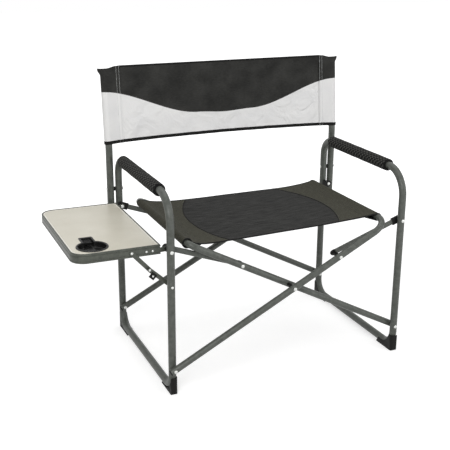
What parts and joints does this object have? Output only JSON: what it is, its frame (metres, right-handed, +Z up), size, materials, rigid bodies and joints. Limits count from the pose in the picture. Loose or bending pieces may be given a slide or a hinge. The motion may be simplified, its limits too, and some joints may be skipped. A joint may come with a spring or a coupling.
{
  "type": "folding camp chair",
  "caption": "Folding steel armchair for the garden with a stretched fabric seat and back, foam arm grips and a side table with a cup holder that swings down.",
  "frame": {"origin": "on the ground, below the middle of the whole chair with its table up", "axes": "+Z up, -Y the way the chair faces, +X away from the side table"},
  "size_m": [1.173, 0.6268, 0.9691],
  "materials": {
    "coated_steel": "dark grey-green powder coat, satin",
    "zinc_steel": "bright zinc plating",
    "black_plastic": "moulded black nylon, matte",
    "foam": "black closed-cell foam, fine grain",
    "seat_cloth": "heavy woven polyester, olive-grey with a heathered dark middle",
    "back_cloth": "heavy woven polyester, light grey above black",
    "table_laminate": "beige laminate, fine grain"
  },
  "bodies": {
    "left_side": {"left_side_frame": "coated_steel", "left_front_shoe": "black_plastic", "left_rear_shoe": "black_plastic", "left_arm_grip": "foam", "left_back_pole": "coated_steel", "left_pole_bolt_1": "zinc_steel", "left_pole_bolt_2": "zinc_steel", "leg_frame_a_front_pivot_bolt": "zinc_steel", "leg_frame_a_rear_pivot_bolt": "zinc_steel", "left_front_link_post_bolt": "zinc_steel", "left_rear_link_post_bolt": "zinc_steel", "brace_post_rivet_front": "zinc_steel", "brace_post_rivet_rear": "zinc_steel", "back_fabric": "back_cloth"},
    "right_side": {"right_side_frame": "coated_steel", "right_front_shoe": "black_plastic", "right_rear_shoe": "black_plastic", "right_arm_grip": "foam", "right_back_pole": "coated_steel", "right_pole_bolt_1": "zinc_steel", "right_pole_bolt_2": "zinc_steel", "leg_frame_b_front_pivot_bolt": "zinc_steel", "leg_frame_b_rear_pivot_bolt": "zinc_steel", "right_front_link_post_bolt": "zinc_steel", "right_rear_link_post_bolt": "zinc_steel"},
    "legs_a": {"leg_frame_a": "coated_steel", "front_crossing_bolt": "zinc_steel", "front_crossing_spacer": "black_plastic", "rear_crossing_bolt": "zinc_steel", "rear_crossing_spacer": "black_plastic", "right_front_link_leg_bolt": "zinc_steel", "right_rear_link_leg_bolt": "zinc_steel", "seat_fabric": "seat_cloth"},
    "legs_b": {"leg_frame_b": "coated_steel", "left_front_link_leg_bolt": "zinc_steel", "left_rear_link_leg_bolt": "zinc_steel"},
    "link_right_front": {"right_front_link": "coated_steel", "right_front_link_cap": "black_plastic"},
    "link_right_rear": {"right_rear_link": "coated_steel", "right_rear_link_cap": "black_plastic"},
    "link_left_front": {"left_front_link": "coated_steel", "left_front_link_cap": "black_plastic"},
    "link_left_rear": {"left_rear_link": "coated_steel", "left_rear_link_cap": "black_plastic"},
    "table": {"table_rim": "coated_steel", "table_board": "table_laminate", "cup_holder": "black_plastic", "table_strap_front": "coated_steel", "table_strap_rear": "coated_steel", "brace_rim_rivet_front": "zinc_steel", "brace_rim_rivet_rear": "zinc_steel"},
    "brace_low_front": {"brace_lower_front": "coated_steel", "brace_stop_front": "black_plastic", "brace_elbow_rivet_front": "zinc_steel"},
    "brace_low_rear": {"brace_lower_rear": "coated_steel", "brace_stop_rear": "black_plastic", "brace_elbow_rivet_rear": "zinc_steel"},
    "brace_up_front": {"brace_upper_front": "coated_steel"},
    "brace_up_rear": {"brace_upper_rear": "coated_steel"}
  },
  "joints": [
    {"name": "fold", "type": "hinge", "parent": "left_side", "child": "legs_a", "pos_m": [-0.2915, -0.27609, 0.092], "axis": [0, -1, 0], "range_deg": [0, 53], "deforming": ["seat_fabric", "back_fabric"]},
    {"name": "crossing_turn", "type": "hinge", "parent": "legs_a", "child": "legs_b", "pos_m": [0.1245, -0.27609, 0.309], "axis": [0, -1, 0], "range_deg": [-106, 0]},
    {"name": "right_side_turn", "type": "hinge", "parent": "legs_b", "child": "right_side", "pos_m": [0.5405, -0.27609, 0.092], "axis": [0, -1, 0], "range_deg": [0, 53]},
    {"name": "link_right_front_turn", "type": "hinge", "parent": "right_side", "child": "link_right_front", "pos_m": [0.5405, -0.27609, 0.48477], "axis": [0, -1, 0], "range_deg": [-99.6, 0]},
    {"name": "link_right_rear_turn", "type": "hinge", "parent": "right_side", "child": "link_right_rear", "pos_m": [0.5405, 0.26992, 0.48477], "axis": [0, -1, 0], "range_deg": [-99.6, 0]},
    {"name": "link_left_front_turn", "type": "hinge", "parent": "left_side", "child": "link_left_front", "pos_m": [-0.2915, -0.27609, 0.48477], "axis": [0, -1, 0], "range_deg": [0, 99.6]},
    {"name": "link_left_rear_turn", "type": "hinge", "parent": "left_side", "child": "link_left_rear", "pos_m": [-0.2915, 0.26992, 0.48477], "axis": [0, -1, 0], "range_deg": [0, 99.6]},
    {"name": "table_swing", "type": "hinge", "parent": "left_side", "child": "table", "pos_m": [-0.2915, -0.27609, 0.48477], "axis": [0, -1, 0], "range_deg": [0, 90]},
    {"name": "brace_low_front_turn", "type": "hinge", "parent": "left_side", "child": "brace_low_front", "pos_m": [-0.2915, -0.27609, 0.37077], "axis": [0, -1, 0], "range_deg": [-48, 0]},
    {"name": "brace_low_rear_turn", "type": "hinge", "parent": "left_side", "child": "brace_low_rear", "pos_m": [-0.2915, 0.26992, 0.37077], "axis": [0, -1, 0], "range_deg": [-48, 0]},
    {"name": "brace_up_front_turn", "type": "hinge", "parent": "table", "child": "brace_up_front", "pos_m": [-0.4055, -0.27609, 0.48477], "axis": [0, -1, 0], "range_deg": [0, 48]},
    {"name": "brace_up_rear_turn", "type": "hinge", "parent": "table", "child": "brace_up_rear", "pos_m": [-0.4055, 0.26992, 0.48477], "axis": [0, -1, 0], "range_deg": [0, 48]}
  ],
  "couplings": [
    {"joint": "crossing_turn", "follows": "fold", "ratio": -2},
    {"joint": "right_side_turn", "follows": "fold", "ratio": 1},
    {"joint": "link_right_front_turn", "follows": "fold", "ratio": -1.875},
    {"joint": "link_right_rear_turn", "follows": "fold", "ratio": -1.875},
    {"joint": "link_left_front_turn", "follows": "fold", "ratio": 1.875},
    {"joint": "link_left_rear_turn", "follows": "fold", "ratio": 1.875},
    {"joint": "brace_low_front_turn", "follows": "table_swing", "ratio": -0.5315},
    {"joint": "brace_low_rear_turn", "follows": "table_swing", "ratio": -0.5315},
    {"joint": "brace_up_front_turn", "follows": "table_swing", "ratio": 0.5315},
    {"joint": "brace_up_rear_turn", "follows": "table_swing", "ratio": 0.5315}
  ]
}
